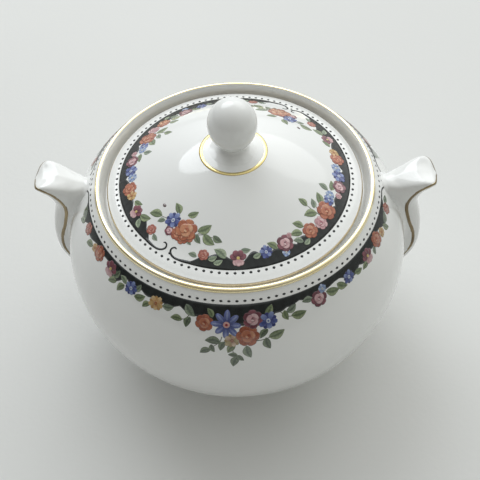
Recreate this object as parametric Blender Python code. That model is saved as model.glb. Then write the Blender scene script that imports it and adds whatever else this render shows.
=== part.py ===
"""A covered sugar bowl in bone china: belly with foot and lid ledge, two luted lugs, domed lid, ball knob.

Metres, +Z up. The origin is the centre of the foot's underside and +X runs through the lugs.
"""

import math

import bmesh
import bpy
from mathutils import Vector

MM = 0.001
CLEARANCE = 0.3 * MM  # between pieces that touch or are luted together

# Belly: an oval of revolution, taller below its widest line than above it.
BELLY_RADIUS = 55.5 * MM
WIDEST_Z = 42.8 * MM
UPPER_HALF_HEIGHT = 44.5 * MM
LOWER_HALF_HEIGHT = 46.5 * MM
WALL = 2.5 * MM
FLOOR_Z = 7.4 * MM
FLOOR_BLEND = 3.0 * MM

# Foot ring
FOOT_JOIN_RADIUS = 31.6 * MM
FOOT_OUTER_RADIUS = 31.0 * MM
FOOT_INNER_RADIUS = 28.0 * MM
FOOT_RECESS = 4.2 * MM

# Rim, gallery wall and the ledge that the lid sits on
RIM_RADIUS = 42.0 * MM
RIM_TOP_Z = 72.8 * MM
RIM_THICKNESS = 1.5 * MM
LEDGE_Z = 68.5 * MM
LEDGE_THICKNESS = 2.5 * MM
GALLERY_RADIUS = 39.7 * MM
MOUTH_RADIUS = 36.05 * MM
SHOULDER_INSIDE_Z = 62.0 * MM

# Lid: a dome that is flat in the middle, steepest two thirds of the way out and flat again at its lip
DOME_APEX_Z = 83.2 * MM
DOME_FLATNESS = 16.3 * MM
DOME_THICKNESS = 2.6 * MM
LIP_START_RADIUS = 35.7 * MM
LIP_START_Z = 71.5 * MM
LID_RADIUS = 38.7 * MM
LIP_TOP_Z = 70.75 * MM
LIP_ROUNDING = 0.9 * MM
FLANGE_RADIUS = 35.2 * MM
FLANGE_THICKNESS = 2.0 * MM
FLANGE_END_Z = 65.0 * MM

# Knob
BALL_RADIUS = 7.0 * MM
BALL_Z = 92.3 * MM
BALL_UPPER_HEIGHT = 7.4 * MM
BALL_LOWER_HEIGHT = 8.4 * MM
STEM_RADIUS = 3.8 * MM
KNOB_BASE_RADIUS = 6.4 * MM
KNOB_BASE_EDGE = 0.35 * MM

# Facets round each turned piece
BOWL_FACETS = 60
LID_FACETS = 54
KNOB_FACETS = 30
LUG_RINGS = 24
LUG_SIDES = 20

# The lug, from its lower tip up the outside and out to the tip of the thumb lobe. Each station is a ring:
# its outer centre (radius, height), its inner centre, its half width, where between those two centres it
# is widest, how boxy its inner half is (1 is an ellipse, less is boxier) and how far its edges turn up.
# Millimetres.
LUG_STATIONS = (
    ((54.4, 24.4), (50.5, 26.2), 0.7, 0.30, 0.5, 0.0),
    ((59.1, 27.4), (50.0, 30.5), 1.4, 0.24, 0.4, 0.0),
    ((61.3, 33.0), (50.0, 35.0), 1.7, 0.18, 0.4, 0.0),
    ((61.9, 39.0), (50.0, 39.5), 2.1, 0.17, 0.4, 0.0),
    ((61.2, 46.5), (50.0, 45.5), 2.7, 0.25, 0.4, 0.0),
    ((59.6, 53.5), (49.0, 52.5), 3.3, 0.38, 0.4, 0.0),
    ((57.7, 59.5), (46.5, 59.0), 3.7, 0.36, 0.6, 0.2),
    ((57.2, 63.0), (44.0, 67.2), 4.7, 0.26, 1.0, 1.0),
    ((57.9, 66.2), (48.4, 69.9), 5.8, 0.28, 1.3, 2.4),
    ((59.6, 68.0), (54.0, 72.4), 6.0, 0.33, 1.3, 2.7),
    ((60.8, 69.1), (57.9, 72.4), 4.7, 0.40, 1.3, 1.8),
    ((61.2, 70.6), (60.6, 71.6), 0.5, 0.50, 1.0, 0.0),
)

CHINA = (0.80, 0.81, 0.79, 1.0)


def clear_scene():
    for item in list(bpy.data.objects):
        bpy.data.objects.remove(item)


def glazed_china(name):
    material = bpy.data.materials.new(name)
    material.use_nodes = True
    shader = material.node_tree.nodes["Principled BSDF"]
    shader.inputs["Base Color"].default_value = CHINA
    shader.inputs["Roughness"].default_value = 0.08
    shader.inputs["Metallic"].default_value = 0.0
    material.diffuse_color = CHINA
    return material


def finish_mesh(name, mesh_data, material):
    """Turns a bmesh into a named, smooth-shaded object with its faces pointing out."""
    bmesh.ops.recalc_face_normals(mesh_data, faces=mesh_data.faces)
    mesh = bpy.data.meshes.new(name)
    mesh_data.to_mesh(mesh)
    mesh_data.free()
    mesh.shade_smooth()
    mesh.set_sharp_from_angle(angle=math.radians(40))
    piece = bpy.data.objects.new(name, mesh)
    bpy.context.scene.collection.objects.link(piece)
    if material:
        mesh.materials.append(material)
    return piece


def turned(name, profile, facets, material):
    """Revolves a profile of (radius, height) points. It is a closed loop, or it starts and ends on the axis."""
    loop = bmesh.new()
    points = [loop.verts.new((radius, 0.0, height)) for radius, height in profile]
    edges = [loop.edges.new(pair) for pair in zip(points, points[1:])]
    if profile[0][0] > 0.0 and profile[-1][0] > 0.0:
        edges.append(loop.edges.new((points[-1], points[0])))
    bmesh.ops.spin(loop, geom=points + edges, cent=(0, 0, 0), axis=(0, 0, 1), angle=2 * math.pi,
                   steps=facets, use_merge=True)
    bmesh.ops.remove_doubles(loop, verts=loop.verts, dist=1e-6)
    return finish_mesh(name, loop, material)


def arc(centre, radius, start, end, steps, height_radius=None):
    """Points on an arc or, with a second radius for the heights, on an oval. Angles are in degrees from +radius."""
    tall = radius if height_radius is None else height_radius
    angles = [math.radians(start + (end - start) * step / steps) for step in range(steps + 1)]
    return [(centre[0] + radius * math.cos(a), centre[1] + tall * math.sin(a)) for a in angles]


def bezier(start, pull_start, pull_end, end, steps):
    """Points on a cubic curve, its ends included."""
    points = []
    for step in range(steps + 1):
        t = step / steps
        weights = ((1 - t) ** 3, 3 * t * (1 - t) ** 2, 3 * t * t * (1 - t), t ** 3)
        corners = (start, pull_start, pull_end, end)
        points.append(tuple(sum(w * c[axis] for w, c in zip(weights, corners)) for axis in (0, 1)))
    return points


def shifted(point, radius_mm, height_mm):
    return (point[0] + radius_mm * MM, point[1] + height_mm * MM)


def without_repeats(points):
    kept = [points[0]]
    for point in points[1:]:
        if math.dist(point, kept[-1]) > 0.02 * MM:
            kept.append(point)
    return kept


def belly_angle_at_radius(radius, below):
    """The oval's angle, in degrees, where its outside has this radius."""
    angle = math.degrees(math.acos(radius / BELLY_RADIUS))
    return -angle if below else angle


def belly_outside():
    """The outer wall from the rim down to the foot."""
    centre = (0.0, WIDEST_Z)
    upper = arc(centre, BELLY_RADIUS, belly_angle_at_radius(RIM_RADIUS, False), 0.0, 7, UPPER_HALF_HEIGHT)
    lower = arc(centre, BELLY_RADIUS, 0.0, belly_angle_at_radius(FOOT_JOIN_RADIUS, True), 8, LOWER_HALF_HEIGHT)
    return upper + lower[1:]


def foot_ring():
    """From the belly's lower edge round the standing ring to the middle of the recessed base."""
    flat_outer = (FOOT_OUTER_RADIUS - 0.6 * MM, 0.0)
    flat_inner = (FOOT_INNER_RADIUS + 0.5 * MM, 0.0)
    return [
        (FOOT_OUTER_RADIUS - 0.2 * MM, 3.0 * MM),
        (FOOT_OUTER_RADIUS, 0.9 * MM),
        flat_outer,
        flat_inner,
        (FOOT_INNER_RADIUS - 0.2 * MM, 0.8 * MM),
        (FOOT_INNER_RADIUS - 0.8 * MM, FOOT_RECESS - 1.0 * MM),
        (FOOT_INNER_RADIUS - 2.4 * MM, FOOT_RECESS),
        (0.0, FOOT_RECESS),
    ]


def belly_inside():
    """The inner wall from the middle of the floor up to where the shoulder thickens into the ledge."""
    radius_inside = BELLY_RADIUS - WALL
    lower_inside = LOWER_HALF_HEIGHT - WALL
    floor = []
    for step in range(10):
        radius = 0.93 * radius_inside * step / 9
        oval_z = WIDEST_Z - lower_inside * math.sqrt(1 - (radius / radius_inside) ** 2)
        rise = math.hypot(oval_z - FLOOR_Z, FLOOR_BLEND)
        floor.append((radius, (oval_z + FLOOR_Z + rise) / 2))
    top_angle = math.degrees(math.asin((SHOULDER_INSIDE_Z - WIDEST_Z) / (UPPER_HALF_HEIGHT - WALL)))
    wall = arc((0.0, WIDEST_Z), radius_inside, -8.0, top_angle, 4, UPPER_HALF_HEIGHT - WALL)
    return floor + wall


def ledge_and_gallery(shoulder):
    """From the inside of the shoulder round the ledge's nose, over the ledge and up the gallery to the rim."""
    nose_radius = LEDGE_THICKNESS / 2
    nose = (MOUTH_RADIUS + nose_radius, LEDGE_Z - nose_radius)
    under_ledge = shifted(nose, 0.0, -1000 * nose_radius)
    underside = bezier(shoulder, shifted(shoulder, -1.6, 2.8), shifted(under_ledge, 4.5, -0.1), under_ledge, 4)
    rounding = arc(nose, nose_radius, 270.0, 90.0, 6)
    gallery_foot = (GALLERY_RADIUS, LEDGE_Z)
    rim_middle = (RIM_RADIUS - RIM_THICKNESS / 2, RIM_TOP_Z - RIM_THICKNESS / 2)
    return (
        underside
        + rounding
        + [shifted(gallery_foot, -0.8, 0.0), shifted(gallery_foot, -0.1, 0.3), shifted(gallery_foot, 0.15, 1.1)]
        + arc(rim_middle, RIM_THICKNESS / 2, 170.0, 30.0, 4)
    )


def make_bowl_body(material):
    inside = belly_inside()
    profile = belly_outside() + foot_ring() + inside + ledge_and_gallery(inside[-1])
    # The profile meets the axis at the recessed base and again at the floor, so it is split there.
    axis = [index for index, point in enumerate(profile) if point[0] == 0.0]
    outline = profile[axis[1]:] + profile[: axis[0] + 1]
    return turned("bowl_body", without_repeats(outline), BOWL_FACETS, material)


def dome_curve(steps):
    """The outside of the dome from its middle to the start of the lip."""
    lip_start = (LIP_START_RADIUS, LIP_START_Z)
    return bezier((0.0, DOME_APEX_Z), (DOME_FLATNESS, DOME_APEX_Z), shifted(lip_start, -5.7, 1.1), lip_start, steps)


def dome_z(radius):
    """Height of the outside of the dome at a radius."""
    curve = dome_curve(200)
    for inner, outer in zip(curve, curve[1:]):
        if radius <= outer[0]:
            share = (radius - inner[0]) / (outer[0] - inner[0])
            return inner[1] + (outer[1] - inner[1]) * share
    return LIP_START_Z


def make_lid(material):
    dome = dome_curve(11)
    lip_edge = (LID_RADIUS - LIP_ROUNDING, LIP_TOP_Z)
    lip = bezier(dome[-1], shifted(dome[-1], 0.8, -0.16), shifted(lip_edge, -0.7, 0.35), lip_edge, 3)
    underside_z = LEDGE_Z + CLEARANCE
    edge = [
        shifted(lip_edge, 0.65, -0.30),
        (LID_RADIUS, LIP_TOP_Z - LIP_ROUNDING),
        (LID_RADIUS - 0.15 * MM, underside_z + 0.5 * MM),
        (LID_RADIUS - 0.7 * MM, underside_z),
    ]
    flange_inside = FLANGE_RADIUS - FLANGE_THICKNESS
    flange = [
        (FLANGE_RADIUS + 0.5 * MM, underside_z),
        (FLANGE_RADIUS, underside_z - 0.5 * MM),
        (FLANGE_RADIUS, FLANGE_END_Z + 0.6 * MM),
        (FLANGE_RADIUS - 0.6 * MM, FLANGE_END_Z),
        (flange_inside + 0.6 * MM, FLANGE_END_Z),
        (flange_inside, FLANGE_END_Z + 0.6 * MM),
        (flange_inside - 0.3 * MM, underside_z - 0.6 * MM),
        (flange_inside - 1.0 * MM, underside_z + 0.8 * MM),
    ]
    inner_start = flange_inside - 3.0 * MM
    radii = [inner_start * step / 8 for step in range(8, -1, -1)]
    ceiling = [(radius, dome_z(radius) - DOME_THICKNESS) for radius in radii]
    return turned("lid", without_repeats(dome + lip + edge + flange + ceiling), LID_FACETS, material)


def make_knob(material):
    radii = [KNOB_BASE_RADIUS * step / 3 for step in range(4)]
    base = [(radius, dome_z(radius) + CLEARANCE) for radius in radii]
    base_edge = (KNOB_BASE_RADIUS, base[-1][1] + KNOB_BASE_EDGE)
    stem_angle = -math.degrees(math.acos(STEM_RADIUS / BALL_RADIUS))
    ball_centre = (0.0, BALL_Z)
    lower_ball = arc(ball_centre, BALL_RADIUS, stem_angle, 0.0, 5, BALL_LOWER_HEIGHT)
    upper_ball = arc(ball_centre, BALL_RADIUS, 0.0, 90.0, 7, BALL_UPPER_HEIGHT)[1:-1]
    flare = bezier(base_edge, shifted(base_edge, -1.4, 0.2), shifted(lower_ball[0], 0.0, -1.6), lower_ball[0], 4)
    profile = base + flare + lower_ball + upper_ball + [(0.0, BALL_Z + BALL_UPPER_HEIGHT)]
    return turned("knob", without_repeats(profile), KNOB_FACETS, material)


def through(values, position):
    """A smooth (Catmull-Rom) value at a position along a list, where 0 is its start and 1 its end."""
    place = position * (len(values) - 1)
    index = min(int(place), len(values) - 2)
    t = place - index
    before = values[index - 1] if index else 2 * values[0] - values[1]
    after = values[index + 2] if index + 2 < len(values) else 2 * values[-1] - values[-2]
    here, there = values[index], values[index + 1]
    slope = there - before
    bend = 2 * before - 5 * here + 4 * there - after
    twist = 3 * here - before - 3 * there + after
    return (2 * here + slope * t + bend * t * t + twist * t ** 3) / 2


def lug_ring(position, side):
    """The points of one ring of the lug, which faces +X for side 1 and -X for side -1."""
    outer_r, outer_z, inner_r, inner_z, half_width, widest, boxiness, upturn = (
        through([station[group] if part is None else station[group][part] for station in LUG_STATIONS], position)
        for group, part in ((0, 0), (0, 1), (1, 0), (1, 1), (2, None), (3, None), (4, None), (5, None))
    )
    ring = []
    for step in range(LUG_SIDES):
        angle = 2 * math.pi * step / LUG_SIDES
        inward = -math.cos(angle)
        reach = widest * (1 + inward) if inward < 0 else widest + (1 - widest) * inward
        swell = abs(math.sin(angle)) ** (1.0 if inward < 0 else boxiness)
        across = math.copysign(half_width * swell, math.sin(angle))
        radius = outer_r + (inner_r - outer_r) * reach
        height = outer_z + (inner_z - outer_z) * reach + upturn * swell * swell
        ring.append(Vector((side * radius, -side * across, height)) * MM)
    return ring


def make_lug(name, side, belly_cutter, material):
    """A lug lofted through its rings and hollowed at the back to fit the belly."""
    lug = bmesh.new()
    rings = [
        [lug.verts.new(point) for point in lug_ring(step / (LUG_RINGS - 1), side)] for step in range(LUG_RINGS)
    ]
    for low, high in zip(rings, rings[1:]):
        for index in range(LUG_SIDES):
            after = (index + 1) % LUG_SIDES
            lug.faces.new((low[index], low[after], high[after], high[index]))
    lug.faces.new(rings[0])
    lug.faces.new(rings[-1])
    piece = finish_mesh(name, lug, material)
    fit = piece.modifiers.new("fit_to_belly", "BOOLEAN")
    fit.operation = "DIFFERENCE"
    fit.object = belly_cutter
    return piece


def make_belly_cutter():
    """A hidden solid, one clearance larger than the belly, that shapes the back of each lug."""
    centre = (0.0, WIDEST_Z)
    radius = BELLY_RADIUS + CLEARANCE
    upper = arc(centre, radius, 90.0, 0.0, 16, UPPER_HALF_HEIGHT + CLEARANCE)[1:]
    lower = arc(centre, radius, 0.0, -90.0, 16, LOWER_HALF_HEIGHT + CLEARANCE)[1:-1]
    top = (0.0, WIDEST_Z + UPPER_HALF_HEIGHT + CLEARANCE)
    bottom = (0.0, WIDEST_Z - LOWER_HALF_HEIGHT - CLEARANCE)
    cutter = turned("belly_cutter", [top] + upper + lower + [bottom], 96, None)
    cutter.hide_render = True
    cutter.display_type = "WIRE"
    return cutter


def main():
    clear_scene()
    make_bowl_body(glazed_china("bowl_china"))
    cutter = make_belly_cutter()
    make_lug("handle_left", -1, cutter, glazed_china("handle_left_china"))
    make_lug("handle_right", 1, cutter, glazed_china("handle_right_china"))
    make_lid(glazed_china("lid_china"))
    make_knob(glazed_china("knob_china"))


main()
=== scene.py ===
import math

import bpy
import numpy as np
from mathutils import Matrix, Vector


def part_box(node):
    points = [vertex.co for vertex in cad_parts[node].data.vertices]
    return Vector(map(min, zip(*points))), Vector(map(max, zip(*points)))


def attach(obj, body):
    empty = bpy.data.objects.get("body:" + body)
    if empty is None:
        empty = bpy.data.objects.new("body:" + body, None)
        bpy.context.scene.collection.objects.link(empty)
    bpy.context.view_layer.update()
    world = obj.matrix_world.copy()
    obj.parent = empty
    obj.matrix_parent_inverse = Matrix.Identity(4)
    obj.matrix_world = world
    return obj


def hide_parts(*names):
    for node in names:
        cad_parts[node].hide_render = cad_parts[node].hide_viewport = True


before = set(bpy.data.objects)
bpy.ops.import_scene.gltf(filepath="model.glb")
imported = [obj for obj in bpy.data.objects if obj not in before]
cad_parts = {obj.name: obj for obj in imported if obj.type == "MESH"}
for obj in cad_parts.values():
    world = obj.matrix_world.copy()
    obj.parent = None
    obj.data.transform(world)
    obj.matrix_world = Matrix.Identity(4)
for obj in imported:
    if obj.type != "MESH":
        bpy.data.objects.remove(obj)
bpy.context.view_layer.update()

MM = 0.001

# ---------- sizes, in millimetres, from the frame

BOWL_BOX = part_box("bowl_body")
LID_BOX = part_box("lid")
KNOB_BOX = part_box("knob")

BELLY_RADIUS = BOWL_BOX[1].x / MM
RIM_TOP_Z = BOWL_BOX[1].z / MM
WIDEST_Z = RIM_TOP_Z - 30.0
UPPER_HALF_HEIGHT = 44.5
LOWER_HALF_HEIGHT = 46.5
WALL = 2.5
FLOOR_Z = 7.4
FLOOR_BLEND = 3.0
FOOT_JOIN_RADIUS = 31.6
FOOT_OUTER_RADIUS = 31.0
FOOT_INNER_RADIUS = 28.0
FOOT_RECESS = 4.2
RIM_RADIUS = 42.0
RIM_THICKNESS = 1.5
LEDGE_Z = RIM_TOP_Z - 4.3
LEDGE_THICKNESS = 2.5
GALLERY_RADIUS = 39.7
MOUTH_RADIUS = 36.05
SHOULDER_INSIDE_Z = 62.0

DOME_TOP_Z = LID_BOX[1].z / MM
LID_RADIUS = LID_BOX[1].x / MM
DOME_FLATNESS = 16.3
DOME_THICKNESS = 2.6
LIP_START_RADIUS = 35.7
LIP_START_Z = DOME_TOP_Z - 11.7
LIP_TOP_Z = DOME_TOP_Z - 12.45
LIP_ROUNDING = 0.9
LID_SEAT_Z = LEDGE_Z + 0.3
FLANGE_RADIUS = 35.2
FLANGE_THICKNESS = 2.0
FLANGE_END_Z = LID_BOX[0].z / MM

KNOB_TOP_Z = KNOB_BOX[1].z / MM
BALL_RADIUS = 7.0
BALL_UPPER_HEIGHT = 7.4
BALL_LOWER_HEIGHT = 8.4
BALL_Z = KNOB_TOP_Z - BALL_UPPER_HEIGHT
STEM_RADIUS = 3.8
KNOB_BASE_RADIUS = 6.4

# The lug's rings from its lower tip to the tip of its thumb lobe: outer centre (radius, height), inner
# centre, half width, where between the two it is widest, how boxy its inner half is (1 is an ellipse), and
# how far its edges turn up.
LUG_STATIONS = (
    ((54.4, 24.4), (50.5, 26.2), 0.7, 0.30, 0.5, 0.0),
    ((59.1, 27.4), (50.0, 30.5), 1.4, 0.24, 0.4, 0.0),
    ((61.3, 33.0), (50.0, 35.0), 1.7, 0.18, 0.4, 0.0),
    ((61.9, 39.0), (50.0, 39.5), 2.1, 0.17, 0.4, 0.0),
    ((61.2, 46.5), (50.0, 45.5), 2.7, 0.25, 0.4, 0.0),
    ((59.6, 53.5), (49.0, 52.5), 3.3, 0.38, 0.4, 0.0),
    ((57.7, 59.5), (46.5, 59.0), 3.7, 0.36, 0.6, 0.2),
    ((57.2, 63.0), (44.0, 67.2), 4.7, 0.26, 1.0, 1.0),
    ((57.9, 66.2), (48.4, 69.9), 5.8, 0.28, 1.3, 2.4),
    ((59.6, 68.0), (54.0, 72.4), 6.0, 0.33, 1.3, 2.7),
    ((60.8, 69.1), (57.9, 72.4), 4.7, 0.40, 1.3, 1.8),
    ((61.2, 70.6), (60.6, 71.6), 0.5, 0.50, 1.0, 0.0),
)
LUG_FILLET = 1.5
LUG_SINK = 1.0  # how far inside the belly's surface the buried part of a lug ends
LUG_RINGS = 150
LUG_SIDES = 72
LUG_GILT_START = 0.1  # share of the way up the lug
LUG_GILT_WIDTH = 0.9
LUG_GILT_STEPS = 150

# Gilt lines on the turned pieces: where they start and end, in mm along or from the middle of their glaze.
RIM_GILT = (-1.85, 0.12)
LID_EDGE_GILT_RADIUS = 38.35
LID_EDGE_GILT_WIDTH = 1.3
KNOB_GILT_RADII = (8.95, 9.95)
GILT_LIFT = 0.035
KNOB_GILT_LIFT = 0.16
FLOOR_HALF_WIDTH = 30.0  # metres

TURNS = 240  # facets round a turned piece


# ---------- curves and turned surfaces

def arc(centre, radius, start, end, steps, height_radius=None):
    """Points on an arc or, with a second radius for the heights, on an oval. Angles in degrees."""
    tall = radius if height_radius is None else height_radius
    angles = [math.radians(start + (end - start) * step / steps) for step in range(steps + 1)]
    return [(centre[0] + radius * math.cos(a), centre[1] + tall * math.sin(a)) for a in angles]


def bezier(start, pull_start, pull_end, end, steps):
    points = []
    for step in range(steps + 1):
        t = step / steps
        weights = ((1 - t) ** 3, 3 * t * (1 - t) ** 2, 3 * t * t * (1 - t), t ** 3)
        corners = (start, pull_start, pull_end, end)
        points.append(tuple(sum(w * c[axis] for w, c in zip(weights, corners)) for axis in (0, 1)))
    return points


def shifted(point, right, up):
    return (point[0] + right, point[1] + up)


def without_repeats(points):
    kept = [points[0]]
    for point in points[1:]:
        if math.dist(point, kept[-1]) > 0.004:
            kept.append(point)
    return kept


def through(values, position):
    """A smooth (Catmull-Rom) value at a position from 0 to 1 along a list."""
    place = position * (len(values) - 1)
    index = min(int(place), len(values) - 2)
    t = place - index
    before = values[index - 1] if index else 2 * values[0] - values[1]
    after = values[index + 2] if index + 2 < len(values) else 2 * values[-1] - values[-2]
    here, there = values[index], values[index + 1]
    bend = 2 * before - 5 * here + 4 * there - after
    twist = 3 * here - before - 3 * there + after
    return (2 * here + (there - before) * t + bend * t * t + twist * t ** 3) / 2


def add_object(name, data):
    item = bpy.data.objects.new(name, data)
    bpy.context.scene.collection.objects.link(item)
    return item


def quads(rows, wrap=False, flip=False):
    """Faces between rows of vertex numbers. wrap closes each row, and flip turns the faces round."""
    faces = []
    for row, following in zip(rows, rows[1:]):
        for index in range(len(row) if wrap else len(row) - 1):
            after = (index + 1) % len(row)
            sides = (following[index], following[after], row[after])
            faces.append((row[index], *(sides[::-1] if flip else sides)))
    return faces


def make_mesh(name, points_mm, faces, material, sharp=50.0):
    mesh = bpy.data.meshes.new(name)
    mesh.from_pydata([Vector(p) * MM for p in points_mm], [], faces)
    mesh.validate()
    mesh.shade_smooth()
    mesh.set_sharp_from_angle(angle=math.radians(sharp))
    mesh.materials.append(material)
    return add_object(name, mesh)


def turned(name, profile, material, closed=False, turns=TURNS):
    """Revolves a profile of (radius, height) points, whose solid side is on its right going along it."""
    profile = without_repeats(profile)
    points, rows = [], []
    for radius, height in profile:
        if radius < 1e-6:
            rows.append([len(points)] * turns)
            points.append((0.0, 0.0, height))
            continue
        rows.append(list(range(len(points), len(points) + turns)))
        for turn in range(turns):
            angle = 2 * math.pi * turn / turns
            points.append((radius * math.cos(angle), radius * math.sin(angle), height))
    corners = quads(rows + rows[:1] if closed else rows, wrap=True)
    faces = [tuple(dict.fromkeys(face)) for face in corners]
    faces = [face for face in faces if len(face) > 2]
    return make_mesh(name, points, faces, material)


class Glaze:
    """The outside of a turned piece. A place on it is an angle in degrees and a distance along it."""

    def __init__(self, profile, zero_radius=None):
        profile = without_repeats(profile)
        self.radii = np.array([point[0] for point in profile])
        self.heights = np.array([point[1] for point in profile])
        steps = np.hypot(np.diff(self.radii), np.diff(self.heights))
        self.lengths = np.concatenate([[0.0], np.cumsum(steps)])
        if zero_radius is not None:
            last = len(self.radii) - 1 - int(np.argmin(np.abs(self.radii[::-1] - zero_radius)))
            self.lengths = self.lengths - self.lengths[last]

    def at_radius(self, radius):
        """How far along a profile that starts in the middle it first reaches a radius."""
        widest = int(np.argmax(self.radii)) + 1
        return float(np.interp(radius, self.radii[:widest], self.lengths[:widest]))

    def section(self, along, lift=0.0):
        """(radius, height) a distance along the profile, raised off the surface by lift."""
        reach = 0.05
        radius, height = self._bare(along)
        low, high = self._bare(along - reach), self._bare(along + reach)
        tangent = Vector((high[0] - low[0], high[1] - low[1])).normalized()
        return (radius - tangent.y * lift, height + tangent.x * lift)

    def _bare(self, along):
        return (
            float(np.interp(along, self.lengths, self.radii)),
            float(np.interp(along, self.lengths, self.heights)),
        )

    def place(self, angle, along, lift):
        radius, height = self.section(along, lift)
        turn = math.radians(angle)
        return (radius * math.cos(turn), radius * math.sin(turn), height)


def belly_oval(start, end, steps, inset=0.0):
    upper, lower = UPPER_HALF_HEIGHT - inset, LOWER_HALF_HEIGHT - inset
    radius = BELLY_RADIUS - inset
    points = []
    for step in range(steps + 1):
        angle = math.radians(start + (end - start) * step / steps)
        tall = upper if angle > 0 else lower
        points.append((radius * math.cos(angle), WIDEST_Z + tall * math.sin(angle)))
    return points


def belly_radius_at(height):
    tall = UPPER_HALF_HEIGHT if height > WIDEST_Z else LOWER_HALF_HEIGHT
    return BELLY_RADIUS * math.sqrt(max(0.0, 1 - ((height - WIDEST_Z) / tall) ** 2))


def belly_outside():
    start = math.degrees(math.acos(RIM_RADIUS / BELLY_RADIUS))
    end = -math.degrees(math.acos(FOOT_JOIN_RADIUS / BELLY_RADIUS))
    return belly_oval(start, end, 96)


def rim_round():
    middle = (RIM_RADIUS - RIM_THICKNESS / 2, RIM_TOP_Z - RIM_THICKNESS / 2)
    return arc(middle, RIM_THICKNESS / 2, 178.0, 22.0, 16)


def gallery():
    """The ledge's flat and the wall that rises from it to the rim."""
    foot = (GALLERY_RADIUS, LEDGE_Z)
    start = shifted(foot, -0.8, 0.0)
    return bezier(start, shifted(foot, -0.1, 0.0), shifted(foot, 0.05, 0.3), shifted(foot, 0.15, 1.2), 6)


def bowl_profile():
    inside_radius = BELLY_RADIUS - WALL
    lower_inside = LOWER_HALF_HEIGHT - WALL
    floor = []
    for step in range(41):
        radius = 0.95 * inside_radius * step / 40
        oval_z = WIDEST_Z - lower_inside * math.sqrt(1 - (radius / inside_radius) ** 2)
        rise = math.hypot(oval_z - FLOOR_Z, FLOOR_BLEND)
        floor.append((radius, (oval_z + FLOOR_Z + rise) / 2))
    top_angle = math.degrees(math.asin((SHOULDER_INSIDE_Z - WIDEST_Z) / (UPPER_HALF_HEIGHT - WALL)))
    wall = belly_oval(-14.0, top_angle, 30, inset=WALL)
    nose_radius = LEDGE_THICKNESS / 2
    nose = (MOUTH_RADIUS + nose_radius, LEDGE_Z - nose_radius)
    under = shifted(nose, 0.0, -nose_radius)
    shoulder = wall[-1]
    underside = bezier(shoulder, shifted(shoulder, -1.6, 2.8), shifted(under, 4.5, -0.1), under, 14)
    foot = bezier(
        (FOOT_JOIN_RADIUS, belly_outside()[-1][1]),
        (FOOT_OUTER_RADIUS - 0.7, 4.1),
        (FOOT_OUTER_RADIUS - 0.3, 2.2),
        (FOOT_OUTER_RADIUS, 0.9),
        8,
    )
    foot += arc((FOOT_OUTER_RADIUS - 0.7, 0.7), 0.7, 10.0, -90.0, 6)
    foot += arc((FOOT_INNER_RADIUS + 0.6, 0.6), 0.6, -90.0, -180.0, 6)
    foot += bezier(
        (FOOT_INNER_RADIUS - 0.1, 1.0),
        (FOOT_INNER_RADIUS - 0.5, 3.0),
        (FOOT_INNER_RADIUS - 1.2, FOOT_RECESS),
        (FOOT_INNER_RADIUS - 3.2, FOOT_RECESS),
        8,
    )
    return (
        floor + wall + underside + arc(nose, nose_radius, 270.0, 90.0, 12) + gallery() + rim_round()
        + belly_outside() + foot + [(0.0, FOOT_RECESS)]
    )


def dome_curve(steps):
    """The outside of the dome from its middle to the start of the lip."""
    lip_start = (LIP_START_RADIUS, LIP_START_Z)
    pull_end = shifted(lip_start, -5.7, 1.1)
    return bezier((0.0, DOME_TOP_Z), (DOME_FLATNESS, DOME_TOP_Z), pull_end, lip_start, steps)


def dome_z(radius):
    curve = dome_curve(200)
    return float(np.interp(radius, [point[0] for point in curve], [point[1] for point in curve]))


def lid_top():
    """The lid's outside from the middle of the dome to the lower corner of its edge."""
    dome = dome_curve(70)
    edge = (LID_RADIUS - LIP_ROUNDING, LIP_TOP_Z)
    lip = bezier(dome[-1], shifted(dome[-1], 0.8, -0.16), shifted(edge, -0.7, 0.35), edge, 10)
    rounding = bezier(edge, shifted(edge, 0.55, -0.18), (LID_RADIUS, LIP_TOP_Z - 0.4),
                      (LID_RADIUS, LIP_TOP_Z - LIP_ROUNDING), 10)
    side = bezier((LID_RADIUS, LIP_TOP_Z - LIP_ROUNDING), (LID_RADIUS, LID_SEAT_Z + 0.5),
                  (LID_RADIUS - 0.15, LID_SEAT_Z), (LID_RADIUS - 0.8, LID_SEAT_Z), 8)
    return dome + lip[1:] + rounding[1:] + side[1:]


def lid_profile():
    flange_inside = FLANGE_RADIUS - FLANGE_THICKNESS
    flange = (
        bezier((FLANGE_RADIUS + 0.6, LID_SEAT_Z), (FLANGE_RADIUS + 0.1, LID_SEAT_Z),
               (FLANGE_RADIUS, LID_SEAT_Z - 0.1), (FLANGE_RADIUS, LID_SEAT_Z - 0.6), 5)
        + arc((FLANGE_RADIUS - 0.7, FLANGE_END_Z + 0.7), 0.7, 0.0, -90.0, 6)
        + arc((flange_inside + 0.7, FLANGE_END_Z + 0.7), 0.7, -90.0, -180.0, 6)
        + bezier((flange_inside, LID_SEAT_Z - 1.4), (flange_inside - 0.1, LID_SEAT_Z + 0.6),
                 (flange_inside - 1.4, LID_SEAT_Z + 2.0),
                 (flange_inside - 3.0, dome_z(flange_inside - 3.0) - DOME_THICKNESS), 10)
    )
    inner = flange_inside - 3.0
    radii = [inner * step / 40 for step in range(39, -1, -1)]
    ceiling = [(radius, dome_z(radius) - DOME_THICKNESS) for radius in radii]
    return lid_top() + flange + ceiling


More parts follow.
